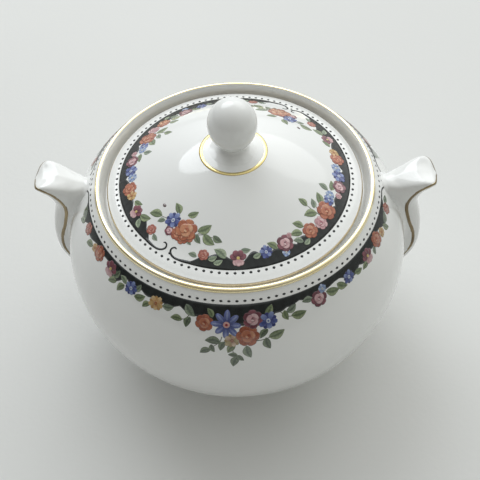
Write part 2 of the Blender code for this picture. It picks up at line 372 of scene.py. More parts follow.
def knob_profile():
    """The knob from the top of its ball down to the hidden face that sits on the lid."""
    centre = (0.0, BALL_Z)
    stem_angle = -math.degrees(math.acos(STEM_RADIUS / BALL_RADIUS))
    upper = arc(centre, BALL_RADIUS, 90.0, 0.0, 30, BALL_UPPER_HEIGHT)
    lower = arc(centre, BALL_RADIUS, 0.0, stem_angle, 22, BALL_LOWER_HEIGHT)
    skirt = (KNOB_BASE_RADIUS + 0.7, dome_z(KNOB_BASE_RADIUS + 0.7) - 0.03)
    flare = bezier(lower[-1], shifted(lower[-1], 0.0, -1.7), shifted(skirt, -2.3, 0.75), skirt, 14)
    upper[0] = (0.0, KNOB_TOP_Z)
    hidden = shifted(skirt, -0.6, -0.7)
    return upper + lower[1:] + flare[1:] + [hidden, (0.0, hidden[1])]


BOWL_GLAZE = Glaze(gallery() + rim_round() + belly_outside(), zero_radius=RIM_RADIUS)
LID_GLAZE = Glaze(lid_top())


# ---------- materials

def linear(red, green, blue):
    """A colour as it looks on a screen, 0 to 255, as the shader needs it."""
    values = [channel / 255 for channel in (red, green, blue)]
    return tuple(v / 12.92 if v <= 0.04045 else ((v + 0.055) / 1.055) ** 2.4 for v in values)


class Shader:
    """A Principled material with a few procedural layers."""

    def __init__(self, name, colour, roughness, metallic=0.0):
        self.material = bpy.data.materials.new(name)
        self.material.use_nodes = True
        self.nodes = self.material.node_tree.nodes
        self.links = self.material.node_tree.links
        self.main = self.nodes["Principled BSDF"]
        self.main.inputs["Base Color"].default_value = (*colour, 1.0)
        self.main.inputs["Roughness"].default_value = roughness
        self.main.inputs["Metallic"].default_value = metallic
        self.coordinates = self.nodes.new("ShaderNodeTexCoord").outputs["Object"]

    def node(self, kind, **inputs):
        """A new node with some inputs set. An underscore in an input's name stands for a space."""
        made = self.nodes.new("ShaderNode" + kind)
        for name, value in inputs.items():
            made.inputs[name.replace("_", " ")].default_value = value
        return made

    def noise(self, scale, detail=2.0, roughness=0.5, distortion=0.0, stretch=None):
        node = self.node("TexNoise", Scale=scale, Detail=detail, Roughness=roughness, Distortion=distortion)
        vector = self.coordinates
        if stretch:
            mapping = self.node("Mapping", Scale=stretch)
            self.links.new(vector, mapping.inputs["Vector"])
            vector = mapping.outputs["Vector"]
        self.links.new(vector, node.inputs["Vector"])
        return node.outputs["Fac"]

    def spread(self, value, low, high, start=0.3, end=0.7):
        node = self.node("MapRange", From_Min=start, From_Max=end, To_Min=low, To_Max=high)
        self.links.new(value, node.inputs["Value"])
        return node.outputs["Result"]

    def mix(self, factor, first, second, blend="MIX"):
        node = self.nodes.new("ShaderNodeMix")
        node.data_type = "RGBA"
        node.blend_type = blend
        for socket, value in ((node.inputs[0], factor), (node.inputs[6], first), (node.inputs[7], second)):
            if isinstance(value, bpy.types.NodeSocket):
                self.links.new(value, socket)
            else:
                socket.default_value = value if isinstance(value, float) else (*value, 1.0)
        return node.outputs[2]

    def colour(self, socket):
        self.links.new(socket, self.main.inputs["Base Color"])

    def roughness(self, socket):
        self.links.new(socket, self.main.inputs["Roughness"])

    def coat(self, weight, roughness):
        self.main.inputs["Coat Weight"].default_value = weight
        self.main.inputs["Coat Roughness"].default_value = roughness

    def bump(self, *layers):
        """Each layer is a height socket, a strength and a depth in metres."""
        normal = None
        for height, strength, depth in layers:
            node = self.node("Bump", Strength=strength, Distance=depth)
            self.links.new(height, node.inputs["Height"])
            if normal:
                self.links.new(normal, node.inputs["Normal"])
            normal = node.outputs["Normal"]
        self.links.new(normal, self.main.inputs["Normal"])


def glazed_china():
    shader = Shader("glazed_china", (0.84, 0.85, 0.835), 0.09)
    tone = shader.spread(shader.noise(28.0, 3.0), 0.0, 1.0)
    shader.colour(shader.mix(tone, (0.865, 0.873, 0.858), (0.832, 0.842, 0.83)))
    shader.roughness(shader.spread(shader.noise(120.0, 3.0), 0.05, 0.12))
    shader.bump((shader.noise(48.0, 2.0, distortion=0.3), 0.5, 0.0003), (shader.noise(900.0), 0.15, 0.00001))
    shader.coat(0.35, 0.03)
    return shader.material


def bare_china():
    shader = Shader("bare_china", (0.72, 0.69, 0.63), 0.75)
    grain = shader.noise(2600.0, 4.0, 0.7)
    soiling = shader.spread(shader.noise(220.0, 4.0, 0.6), 0.0, 1.0, 0.42, 0.7)
    shader.colour(shader.mix(soiling, (0.76, 0.735, 0.68), (0.50, 0.45, 0.38)))
    shader.bump((grain, 0.6, 0.00006))
    return shader.material


def burnished_gold(name, light, dark):
    shader = Shader(name, light, 0.2, metallic=1.0)
    streaks = shader.noise(320.0, 3.0, 0.6, stretch=(1.0, 1.0, 5.0))
    patches = shader.noise(90.0, 3.0, 0.55)
    shader.colour(shader.mix(shader.spread(patches, 0.0, 1.0), light, dark))
    shader.roughness(shader.spread(streaks, 0.14, 0.28))
    shader.bump((shader.noise(1500.0, 2.0), 0.25, 0.00002), (patches, 0.3, 0.00008))
    return shader.material


def enamel(name, roughness, strength, coat=0.8):
    """Fired enamel whose colours are painted on the mesh, with brush marks and a slightly raised surface."""
    shader = Shader(name, (0.5, 0.5, 0.5), roughness)
    paint = shader.nodes.new("ShaderNodeAttribute")
    paint.attribute_name = "paint"
    strokes = shader.spread(shader.noise(1400.0, 3.0, 0.6), 0.82 * strength, 1.14 * strength)
    shader.colour(shader.mix(1.0, paint.outputs["Color"], strokes, "MULTIPLY"))
    shader.roughness(shader.spread(shader.noise(700.0, 2.0), roughness - 0.07, roughness + 0.1))
    shader.bump((shader.noise(2200.0, 2.0), 0.3, 0.00003))
    shader.coat(coat, 0.06)
    return shader.material


def pale_floor():
    shader = Shader("pale_floor", (0.73, 0.73, 0.715), 0.85)
    tone = shader.spread(shader.noise(3.0, 3.0), 0.0, 1.0)
    shader.colour(shader.mix(tone, (0.735, 0.74, 0.725), (0.70, 0.705, 0.69)))
    shader.bump((shader.noise(500.0, 3.0), 0.25, 0.0002))
    return shader.material


# ---------- enamel decoration

INK = (linear(14, 21, 22), linear(27, 35, 34))
GREENS = {
    "green": (linear(158, 172, 130), linear(112, 130, 92)),
    "grey": (linear(160, 174, 150), linear(118, 134, 114)),
    "pale": (linear(176, 190, 160), linear(132, 150, 124)),
    "dark": (linear(132, 148, 118), linear(92, 108, 86)),
}
# Each bloom's colours on a screen: outer petals' base and tip, inner petals' base and tip, eye.
SCREEN_BLOOMS = {
    "orange": ((158, 76, 48), (196, 122, 92), (184, 100, 68), (222, 166, 134), (146, 62, 40)),
    "apricot": ((166, 84, 52), (204, 132, 94), (196, 120, 82), (232, 184, 146), (152, 74, 46)),
    "coral": ((158, 78, 64), (198, 128, 110), (180, 98, 82), (222, 170, 154), (140, 58, 48)),
    "pink": ((190, 134, 142), (228, 196, 196), (184, 114, 126), (240, 216, 214), (140, 58, 76)),
    "plum": ((90, 34, 50), (158, 94, 106), (212, 160, 166), (238, 208, 208), (84, 26, 42)),
    "blue": ((48, 60, 124), (98, 114, 180), (80, 96, 166), (158, 174, 216), (206, 214, 226)),
    "pale_blue": ((112, 136, 186), (178, 196, 222), (136, 158, 202), (204, 216, 232), (226, 222, 196)),
    "cream": ((172, 150, 104), (210, 196, 160), (196, 152, 128), (232, 218, 194), (158, 96, 72)),
    "yellow": ((190, 146, 86), (226, 198, 138), (200, 142, 84), (236, 214, 164), (160, 92, 54)),
}
BLOOMS = {kind: [linear(*colour) for colour in colours] for kind, colours in SCREEN_BLOOMS.items()}
STEM_COLOUR = linear(84, 88, 64)
BUD_COLOUR = linear(122, 108, 108)
SLOT_OF = {
    "ink": "dark_enamel", "leaf": "leaf_enamel", "orange": "orange_enamel", "coral": "orange_enamel",
    "pink": "pink_enamel", "plum": "plum_enamel", "blue": "blue_enamel", "pale_blue": "blue_enamel",
    "yellow": "yellow_enamel", "cream": "yellow_enamel",
}
FILM_DEPTH = 0.07  # how far each film goes down into the glaze, so that it is a closed body
BAND_LIFT = 0.02
INK_LIFT = 0.03
STEM_LIFT = 0.035
LEAF_LIFT = 0.04
FLOWER_LIFT = 0.05
PEONY_LIFT = 0.08


def blend_colour(first, second, share):
    return tuple(a + (b - a) * share for a, b in zip(first, second))


def thicken(piece):
    """Gives a flat film its depth, down into the glaze."""
    thick = piece.modifiers.new("film", "SOLIDIFY")
    thick.thickness = FILM_DEPTH * MM
    thick.offset = -1.0


class Film:
    """Enamel of one kind on one glaze: flat shapes laid on the curved surface, with a colour per vertex."""

    def __init__(self, glaze):
        self.glaze = glaze
        self.points, self.faces, self.colours = [], [], []

    def vertex(self, angle, along, lift, colour):
        self.points.append(self.glaze.place(angle, along, lift))
        self.colours.append(colour)
        return len(self.points) - 1

    def local(self, spot, x, y, lift, colour):
        """A vertex x mm to the right and y mm down from a spot (angle, along), as seen from outside."""
        angle, along = spot
        radius = self.glaze.section(along + y)[0]
        return self.vertex(angle + math.degrees(x / radius), along + y, lift, colour)

    def grid(self, rows):
        """Rows of vertex numbers, each running left to right, from the top row down."""
        self.faces += quads(rows)

    def finish(self, name, body, slot, material):
        mesh_piece = make_mesh(name, self.points, self.faces, material, sharp=80.0)
        layer = mesh_piece.data.color_attributes.new("paint", "FLOAT_COLOR", "POINT")
        flat = [value for colour in self.colours for value in (*colour, 1.0)]
        layer.data.foreach_set("color", flat)
        thicken(mesh_piece)
        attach(mesh_piece, body)


def compass(heading):
    """A heading's (right, down) direction: 0 is up, towards the rim or the knob, and 90 is to the right."""
    turn = math.radians(heading)
    return (math.sin(turn), -math.cos(turn))


def add_leaf(film, spot, length, heading, kind):
    """A pointed leaf with a dark mid-rib and outline, a lit half and a shaded half."""
    ahead = compass(heading)
    side = compass(heading + 90)
    lit, shaded = GREENS[kind]
    slim, curl, steps = 0.58, 0.10, 10
    rib = blend_colour(shaded, (0.02, 0.03, 0.02), 0.35)
    outline = blend_colour(shaded, (0.01, 0.02, 0.01), 0.5)
    across = (-1.0, -0.84, -0.45, -0.09, 0.09, 0.45, 0.84, 1.0)
    tints = (outline, shaded, blend_colour(shaded, lit, 0.5), rib, rib, lit, lit, outline)
    rows = []
    for step in range(steps + 1):
        t = step / steps
        width = length * slim / 2 * (math.sin(math.pi * t ** 0.85) ** 0.85 if 0 < t < 1 else 0.02)
        forward = length * (t - 0.5)
        bow = curl * length * (4 * t * (1 - t) - 0.5)
        row = []
        for share, tint in zip(across, tints):
            x = ahead[0] * forward + side[0] * (bow + share * width)
            y = ahead[1] * forward + side[1] * (bow + share * width)
            if step in (3, 5, 7) and abs(share) == 0.45:
                tint = blend_colour(tint, rib, 0.45)
            row.append(film.local(spot, x, y, LEAF_LIFT, tint))
        rows.append(row)
    film.grid(rows[::-1])


def add_petal(film, spot, reach, heading, along, across, base, tip, lift, edge=None, notch=0.0):
    """An oval petal whose middle is reach mm from the spot. It shades from its base to its tip."""
    ahead = compass(heading)
    side = compass(heading + 90)
    edge = blend_colour(base, (0.05, 0.02, 0.02), 0.22) if edge is None else edge
    rings, sides = 4, 18
    middle = film.local(spot, ahead[0] * reach, ahead[1] * reach, lift, blend_colour(base, tip, 0.5))
    previous = None
    for ring in range(1, rings + 1):
        share = (ring / rings) ** 0.8
        row = []
        for index in range(sides):
            turn = 2 * math.pi * index / sides
            dent = 1 - notch * math.exp(-(turn if turn < math.pi else 2 * math.pi - turn) ** 2 / 0.12)
            forward = reach + along * share * math.cos(turn) * dent
            sideways = across * share * math.sin(turn) * dent
            tint = blend_colour(base, tip, 0.5 + 0.5 * share * math.cos(turn))
            if ring == rings:
                tint = blend_colour(tint, edge, 0.75)
            x = ahead[0] * forward + side[0] * sideways
            y = ahead[1] * forward + side[1] * sideways
            row.append(film.local(spot, x, y, lift, tint))
        for index in range(sides):
            after = (index + 1) % sides
            if previous is None:
                film.faces.append((middle, row[after], row[index]))
            else:
                film.faces.append((previous[index], previous[after], row[after], row[index]))
        previous = row


def add_rose(film, spot, radius, spin, kind, lift=FLOWER_LIFT):
    """Six broad outer petals, a cup of three lighter ones and a tight heart."""
    outer_base, outer_tip, inner_base, inner_tip, eye = BLOOMS[kind]
    dark = blend_colour(eye, (0.02, 0.01, 0.01), 0.35)
    for petal in range(6):
        heading = spin + 60 * petal
        tip = blend_colour(outer_tip, outer_base, 0.6 * (petal % 2))
        add_petal(film, spot, 0.58 * radius, heading, 0.42 * radius, 0.44 * radius, outer_base, tip,
                  lift + 0.004 * petal, edge=dark, notch=0.08)
    for petal in range(3):
        heading = spin + 40 + 120 * petal
        tip = blend_colour(inner_tip, inner_base, 0.3 * petal)
        add_petal(film, spot, 0.24 * radius, heading, 0.38 * radius, 0.44 * radius, inner_base, tip,
                  lift + 0.026 + 0.004 * petal, edge=blend_colour(dark, inner_base, 0.35))
    add_petal(film, spot, 0.05 * radius, spin + 100, 0.20 * radius, 0.26 * radius, eye, inner_base,
              lift + 0.042, edge=dark)
    add_petal(film, spot, 0.10 * radius, spin + 200, 0.09 * radius, 0.15 * radius, inner_tip, inner_tip,
              lift + 0.048)


def add_star_flower(film, spot, radius, spin, kind):
    """Two overlapping rings of rounded petals round a small eye."""
    outer_base, outer_tip, inner_base, inner_tip, eye = BLOOMS[kind]
    dark = blend_colour(outer_base, (0.01, 0.01, 0.02), 0.35)
    lift, petals = FLOWER_LIFT, 5
    width = 2.5 * radius / petals
    for petal in range(petals):
        heading = spin + 360 * (petal + 0.5) / petals
        add_petal(film, spot, 0.52 * radius, heading, 0.36 * radius, width / 2, outer_base, outer_base,
                  lift, edge=dark)
    for petal in range(petals):
        heading = spin + 360 * petal / petals
        base, tip = (outer_base, outer_tip) if petal % 2 else (inner_base, inner_tip)
        size = 1.0 - 0.08 * (petal % 3)
        add_petal(film, spot, 0.60 * size * radius, heading, 0.42 * size * radius, width / 2 + 0.05, base,
                  tip, lift + 0.006 + 0.003 * petal, edge=blend_colour(outer_base, base, 0.3), notch=0.12)
    add_petal(film, spot, 0.0, 0, 0.25 * radius, 0.22 * radius, eye, eye, lift + 0.03, edge=outer_tip)
    add_petal(film, spot, 0.0, 0, 0.09 * radius, 0.09 * radius, inner_base, inner_base, lift + 0.034)


def add_pansy(film, spot, radius, spin):
    """Dark upper petals over pale lower ones."""
    plum_base, plum_tip = BLOOMS["plum"][:2]
    pink_base, pink_tip = BLOOMS["pink"][:2]
    eye = linear(222, 196, 120)
    lift = FLOWER_LIFT
    for order, (turn, pale) in enumerate(((150, True), (210, True), (180, True), (75, False), (285, False),
                                          (25, False), (335, False))):
        base, tip = (pink_base, pink_tip) if pale else (plum_base, plum_tip)
        add_petal(film, spot, 0.52 * radius, spin + turn, 0.44 * radius, 0.38 * radius, base, tip,
                  lift + 0.004 * order, edge=plum_base if not pale else pink_base)
    add_petal(film, spot, 0.0, 0, 0.20 * radius, 0.20 * radius, eye, eye, lift + 0.032, edge=plum_base)


def add_daisy(film, spot, radius, spin):
    """Long separate petals with pale tips round a ringed eye."""
    base, tip, heart = BLOOMS["blue"][0], linear(136, 150, 208), linear(168, 52, 56)
    lift, petals = 0.06, 8
    for petal in range(petals):
        heading = spin + 360 * petal / petals
        size = 1.0 - 0.05 * (petal % 3)
        add_petal(film, spot, 0.58 * size * radius, heading, 0.42 * size * radius, 0.20 * radius, base, tip,
                  lift + 0.002 * (petal % 2), edge=base)
        add_petal(film, spot, 0.60 * size * radius, heading, 0.30 * size * radius, 0.07 * radius,
                  blend_colour(base, tip, 0.4), linear(176, 188, 228), lift + 0.012,
                  edge=blend_colour(base, tip, 0.55))
    add_petal(film, spot, 0.0, 0, 0.21 * radius, 0.21 * radius, linear(226, 172, 168), linear(232, 186, 180),
              lift + 0.02, edge=linear(206, 140, 140))
    add_petal(film, spot, 0.0, 0, 0.09 * radius, 0.09 * radius, heart, heart, lift + 0.026)


def add_stroke(film, places, widths, lift, tint):
    """A brush stroke through places (angle, along), as wide in mm as the widths say along it."""
    steps = 9 * (len(places) - 1)
    spots = []
    for step in range(steps + 1):
        t = step / steps
        spots.append((through([p[0] for p in places], t), through([p[1] for p in places], t)))
    rows = []
    for index, spot in enumerate(spots):
        before, after = spots[max(index - 1, 0)], spots[min(index + 1, steps)]
        radius = film.glaze.section(spot[1])[0]
        right = math.radians(after[0] - before[0]) * radius
        down = after[1] - before[1]
        size = math.hypot(right, down) or 1.0
        half = through(widths, index / steps) / 2
        row = []
        for share in (-1.0, 0.0, 1.0):
            row.append(film.local(spot, -down / size * half * share, right / size * half * share, lift, tint))
        rows.append(row)
    film.faces += quads(rows, flip=True)


def add_dot(film, angle, along, width, height, lift=INK_LIFT, tint=INK[0]):
    """A small rounded lozenge."""
    middle = film.local((angle, along), 0.0, 0.0, lift, tint)
    ring = []
    sides = 12
    for index in range(sides):
        turn = 2 * math.pi * index / sides
        soft = 1 / (abs(math.cos(turn)) ** 1.5 + abs(math.sin(turn)) ** 1.5) ** (1 / 1.5)
        x, y = width / 2 * soft * math.cos(turn), height / 2 * soft * math.sin(turn)
        ring.append(film.local((angle, along), x, y, lift, tint))
    for index in range(sides):
        film.faces.append((middle, ring[(index + 1) % sides], ring[index]))


def wave_depth(angle, base, waves, start, end, taper):
    """How deep the dark band is at an angle: a base depth plus waves, tapering off at both ends."""
    depth = base
    for middle, half_width, extra in waves:
        share = (angle - middle) / half_width
        if abs(share) < 1:
            depth = max(depth, base + extra * (0.5 + 0.5 * math.cos(math.pi * share)) ** 0.7)
    ends = min(angle - start, end - angle) / taper
    return depth * min(1.0, max(0.05, ends)) ** 0.8


def add_band(film, centre, start, end, edge_along, base, waves, taper, inward):
    """A dark band with one clean edge and one scalloped edge. inward is -1 if it grows towards the top."""
    steps = int((end - start) * 2.5)
    levels = 7
    rows = [[] for _ in range(levels)]
    for step in range(steps + 1):
        angle = start + (end - start) * step / steps
        depth = wave_depth(angle, base, waves, start, end, taper)
        for level in range(levels):
            share = level / (levels - 1)
            tint = blend_colour(INK[0], INK[1], 0.5 + 0.5 * math.sin(angle * 1.7 + 3 * share))
            along = edge_along + inward * depth * share
            rows[level].append(film.vertex(centre + angle, along, BAND_LIFT, tint))
    film.grid(rows if inward > 0 else rows[::-1])


# ---------- the garlands
# Each item is a kind, an angle, a distance down the glaze and a size, then a heading for a leaf or a spin.
# On the bowl angles count from the middle of the garland, and distances from the rim, in mm.

BOWL_BAND_EDGE = 3.1
BOWL_BAND_DEPTH = 2.0
BOWL_BAND_ENDS = (-81.0, 81.0)
BOWL_BAND_TAPER = 9.0
BOWL_SCROLL_WIDTHS = (0.75, 0.55, 0.45, 0.5, 0.42, 0.3)
BOWL_STEM_WIDTHS = (0.22, 0.2, 0.14)
BOWL_SCROLL_DOT = (88.6, 3.55, 0.75, 0.6)  # angle, distance, width and height
BOWL_GAP_DOT = (90.0, 4.8, 0.8, 0.7)
RIM_DOTS = 130
RIM_DOT = (2.2, 0.95, 0.66)  # distance, width and height
BOWL_WAVES = (
    (-75, 5, 2.4), (-65, 5, 1.1), (-45, 5, 3.2), (-36, 4, 1.4), (-30, 4, 1.2), (-22, 5, 1.4), (-13, 6, 2.2),
    (-6, 7, 3.6), (3, 9, 4.0), (11, 6, 2.6), (15, 5, 1.7), (19, 4, 0.9), (26, 4, 0.8), (33, 4, 0.5),
    (45, 6, 2.4), (51, 4, 1.8), (58, 4, 1.2), (71, 5, 2.0), (78, 3, 0.6),
)
# The bowl's leaves as they were first read. They came out too small, and those under the daisy and to the
# right of it stood too far left, so grown() corrects them, to 0.1 mm and 0.1 degrees.
READ_BOWL_LEAVES = (
    (-75.5, 5.3, 4.2, 115, "dark"), (-74.3, 7.4, 3.2, 240, "pale"), (-63.0, 7.5, 3.4, 242, "green"),
    (-44.6, 6.0, 3.0, 30, "dark"), (-45.4, 8.6, 3.1, 238, "green"), (-41.2, 8.5, 3.2, 212, "green"),
    (-41.0, 5.8, 2.8, 292, "pale"), (-34.4, 5.5, 2.7, 30, "grey"), (-32.8, 7.6, 3.4, 62, "green"),
    (-29.9, 8.6, 2.7, 225, "green"), (-22.0, 6.7, 3.0, 78, "grey"), (-14.4, 6.0, 3.7, 138, "grey"),
    (-18.6, 9.0, 3.0, 264, "green"), (-14.8, 9.3, 3.0, 196, "dark"), (-7.5, 5.6, 2.6, 328, "green"),
    (-7.0, 13.8, 3.7, 272, "dark"), (-4.2, 15.3, 2.7, 202, "dark"), (-7.1, 16.3, 2.3, 158, "dark"),
    (-9.3, 17.3, 2.9, 242, "dark"), (-1.5, 16.1, 2.9, 218, "green"), (-0.9, 18.3, 2.4, 282, "dark"),
    (-0.4, 20.6, 3.4, 202, "dark"), (1.3, 19.4, 2.2, 142, "dark"), (3.6, 17.4, 3.7, 165, "grey"),
    (11.6, 5.5, 3.0, 38, "green"), (8.7, 12.0, 2.9, 222, "dark"), (9.6, 15.3, 3.3, 165, "dark"),
    (12.8, 12.9, 4.0, 74, "green"), (16.7, 8.1, 2.8, 168, "green"), (19.0, 6.7, 3.0, 62, "grey"),
    (21.1, 8.9, 3.9, 92, "green"), (25.0, 6.0, 2.9, 278, "grey"), (34.7, 7.1, 3.8, 108, "green"),
    (38.7, 7.3, 3.4, 128, "green"), (47.0, 7.3, 2.8, 102, "green"), (50.7, 7.9, 2.7, 262, "green"),
    (57.8, 7.4, 2.2, 205, "grey"), (69.7, 7.6, 3.1, 148, "green"), (72.3, 6.0, 3.4, 66, "dark"),
    (80.3, 5.0, 2.8, 96, "grey"),
)
LEAF_GROWTH = 1.12
RIGHT_START = 8.0  # the angle past which leaves turn by RIGHT_TURN
RIGHT_TURN = 0.35
SPRAY_START = 11.0  # the distance from the rim past which a leaf belongs to the spray under the daisy
SPRAY_GROWTH = 1.17
SPRAY_TURN = 0.6


def grown(leaf):
    angle, along, length, heading, kind = leaf
    if along > SPRAY_START:
        angle, length = angle + SPRAY_TURN, length * SPRAY_GROWTH
    else:
        angle, length = angle + (RIGHT_TURN if angle > RIGHT_START else 0.0), length * LEAF_GROWTH
    return round(angle, 1), along, round(length, 1), heading, kind


BOWL_LEAVES = [grown(leaf) for leaf in READ_BOWL_LEAVES]
BOWL_FLOWERS = (
    ("coral", -68.0, 5.6, 2.0, 20), ("yellow", -59.4, 6.4, 1.5, 0), ("orange", -56.0, 6.0, 2.5, 50),
    ("pansy", -48.0, 6.2, 2.5, 8), ("blue", -37.0, 6.7, 2.3, 10), ("yellow", -26.5, 7.0, 2.4, 30),
    ("orange", -9.3, 8.7, 2.6, 10), ("daisy", -2.2, 8.8, 4.3, 4), ("plum", 6.3, 7.5, 2.8, 0),
    ("cream", -0.5, 13.5, 2.4, 15), ("orange", 4.4, 12.3, 3.3, 35), ("blue", 11.2, 8.5, 2.8, 30),
    ("plum", 29.5, 7.0, 2.5, 30), ("pale_blue", 31.7, 4.9, 1.4, 0), ("blue", 42.8, 6.6, 2.1, 25),
    ("pansy", 54.0, 6.4, 2.4, -6), ("orange", 61.8, 6.0, 2.5, 15), ("yellow", 66.2, 6.7, 1.6, 0),
    ("coral", 77.0, 6.1, 1.9, 0),
)
BOWL_STEMS = (
    ((-14.4, 7.2), (-16.0, 8.7), (-19.6, 9.0)), ((-3.6, 12.4), (-4.6, 14.4), (-9.0, 17.4)),
    ((0.0, 14.6), (-0.3, 17.0), (0.4, 20.4)), ((6.4, 14.0), (8.8, 13.9), (13.5, 13.0)),
    ((15.4, 6.6), (17.4, 8.4), (20.6, 9.0)),
)
BOWL_SCROLL = ((-77.0, 3.6), (-80.5, 3.25), (-83.6, 3.35), (-86.0, 4.5), (-87.1, 6.2), (-87.6, 7.3))

# On the lid distances are radii, and angles are those of the front garland. The back one is turned from it.
LID_BAND_RADIUS = 34.8
LID_BAND_DEPTH = 2.2
LID_BAND_TAPER = 7.0
LID_SCROLL_WIDTHS = (0.9, 0.85, 0.62, 0.6, 0.55, 0.55, 0.45, 0.45, 0.3)
LID_STEM_WIDTHS = (0.2, 0.18, 0.14)
LID_DOTS = 105
LID_DOT = (35.6, 0.9, 0.8)  # radius, width and height
LID_GAP_DOT = (34.0, 0.8, 0.75)
LID_GARLANDS = ((0.0, -112.5, 47.0), (184.0, -116.5, 43.0))  # turn, then its band's first and last angle
LID_WAVES = (
    (-103, 7, 1.2), (-97, 9, 2.2), (-79.5, 6, 2.6), (-68.5, 6, 1.9), (-61, 6, 1.6), (-53, 6, 1.9),
    (-45, 6, 1.9), (-37, 6, 2.0), (-29, 6, 1.7), (-21, 6, 1.8), (-13, 6, 1.5), (-5, 6, 1.6), (5, 6, 1.6),
    (16, 7, 1.7), (31.3, 7, 2.3), (40, 6, 1.5),
)
LID_LEAVES = (
    (-110.1, 32.2, 2.6, 275, "grey"), (-96.4, 30.6, 4.1, 302, "pale"), (-100.0, 32.1, 2.6, 62, "pale"),
    (-97.1, 32.9, 2.7, 65, "pale"), (-83.3, 29.9, 2.6, 95, "grey"), (-78.0, 31.6, 2.6, 70, "pale"),
    (-69.1, 30.1, 3.3, 315, "green"), (-54.3, 29.8, 3.6, 290, "green"), (-55.4, 31.6, 3.0, 305, "grey"),
    (-51.7, 33.0, 2.5, 75, "pale"), (-50.5, 28.2, 3.4, 320, "green"), (-39.7, 28.1, 4.2, 300, "green"),
    (-37.6, 24.7, 3.3, 355, "green"), (-33.1, 26.9, 3.0, 40, "grey"), (-27.3, 27.5, 4.0, 45, "green"),
    (-17.7, 27.2, 3.3, 8, "grey"), (-13.9, 29.4, 3.6, 78, "green"), (20.5, 30.3, 3.3, 60, "green"),
    (31.2, 30.7, 3.9, 62, "green"), (31.0, 33.0, 3.0, 130, "pale"), (43.8, 32.6, 2.5, 110, "grey"),
)
LID_FLOWERS = (
    ("coral", -104.8, 31.6, 1.6, 10), ("pansy", -87.5, 31.7, 2.4, 0), ("blue", -73.3, 31.2, 2.0, 0),
    ("pale_blue", -63.9, 32.9, 1.3, 0), ("plum", -62.4, 30.7, 2.5, 20), ("pink", -58.5, 29.3, 0.8, 0),
    ("orange", -46.8, 31.2, 2.4, 0), ("pink", -39.0, 31.6, 2.1, 30), ("pale_blue", -20.7, 29.7, 1.6, 0),
    ("blue", -24.2, 30.0, 1.9, 15), ("orange", -31.0, 30.7, 3.1, 20), ("pink", -18.3, 32.0, 1.1, 40),
    ("plum", -12.3, 31.6, 2.3, 40), ("pale_blue", 0.7, 30.5, 1.8, 20), ("blue", -4.8, 31.2, 2.4, 0),
    ("yellow", 13.3, 31.3, 1.8, 0), ("orange", 8.1, 31.5, 2.5, 10), ("pansy", 24.3, 31.8, 2.2, 0),
    ("coral", 39.3, 31.6, 1.6, 30),
)
LID_STEMS = (
    ((-36.0, 30.0), (-37.0, 27.6), (-37.6, 25.3)), ((-34.6, 29.4), (-33.9, 28.3), (-33.2, 27.2)),
    ((-20.0, 29.6), (-18.4, 28.6), (-17.7, 27.5)),
)
# The curl at each end of a band: degrees beyond its end, and radius.
LID_SCROLL = (
    (-3.0, 34.3), (0.5, 34.5), (3.4, 34.6), (5.8, 34.5), (7.6, 34.05), (8.7, 33.3), (8.5, 32.5),
    (7.3, 32.1), (6.3, 32.3),
)

# The posies that fill the gaps of the lid's garlands, from their own middle angle.
POSY_ANGLES = (-121.0, 57.0)
POSY_LEAVES = (
    (-10.1, 23.2, 3.7, 303, "green"), (2.2, 22.7, 3.3, 50, "green"), (13.3, 25.3, 4.3, 51, "green"),
    (17.0, 27.8, 4.3, 124, "green"), (10.9, 28.2, 2.9, 138, "dark"), (22.0, 27.3, 3.1, 119, "dark"),
    (-20.5, 27.9, 4.3, 240, "green"), (-14.7, 28.2, 2.5, 225, "grey"), (6.7, 29.5, 2.1, 135, "grey"),
    (3.6, 29.6, 1.5, 140, "grey"),
)
POSY_FLOWERS = (
    ("plum", -6.6, 29.1, 1.5, 0), ("blue", -8.2, 26.4, 2.6, 10), ("orange", 5.2, 28.1, 2.0, 20),
    ("orange", -1.4, 28.7, 2.1, 30), ("orange", 2.2, 29.1, 2.0, 60), ("peony", 2.4, 27.0, 3.3, 0),
)
POSY_STEMS = (
    ((5.6, 27.6), (9.5, 27.1), (12.8, 25.7)), ((8.0, 27.6), (13.5, 26.8), (21.3, 27.2)),
    ((-12.0, 26.8), (-14.5, 27.1), (-20.0, 27.8)),
)
POSY_BUD = (-20.1, 24.9, 1.4, 1.0)  # angle, radius, width and height


def add_flower(films, kind, spot, size, spin):
    if kind == "daisy":
        add_daisy(films["blue"], spot, size, spin)
    elif kind == "peony":
        add_rose(films["orange"], spot, size, spin, "apricot", PEONY_LIFT)
    elif kind == "pansy":
        add_pansy(films["plum"], spot, size, spin)
    elif kind in ("blue", "pale_blue", "yellow", "cream"):
        add_star_flower(films[kind], spot, size, spin, kind)
    else:
        add_rose(films[kind], spot, size, spin, kind)


def lay_motifs(films, middle, leaves, stems, flowers, stem_widths, along_of=float):
    """Adds one garland's leaves, stems and flowers, turned by its middle angle."""
    for angle, place, length, heading, kind in leaves:
        add_leaf(films["leaf"], (middle + angle, along_of(place)), length, heading, kind)
    for places in stems:
        spots = [(middle + angle, along_of(place)) for angle, place in places]
        add_stroke(films["leaf"], spots, stem_widths, STEM_LIFT, STEM_COLOUR)
    for kind, angle, place, size, spin in flowers:
        add_flower(films, kind, (middle + angle, along_of(place)), size, spin)


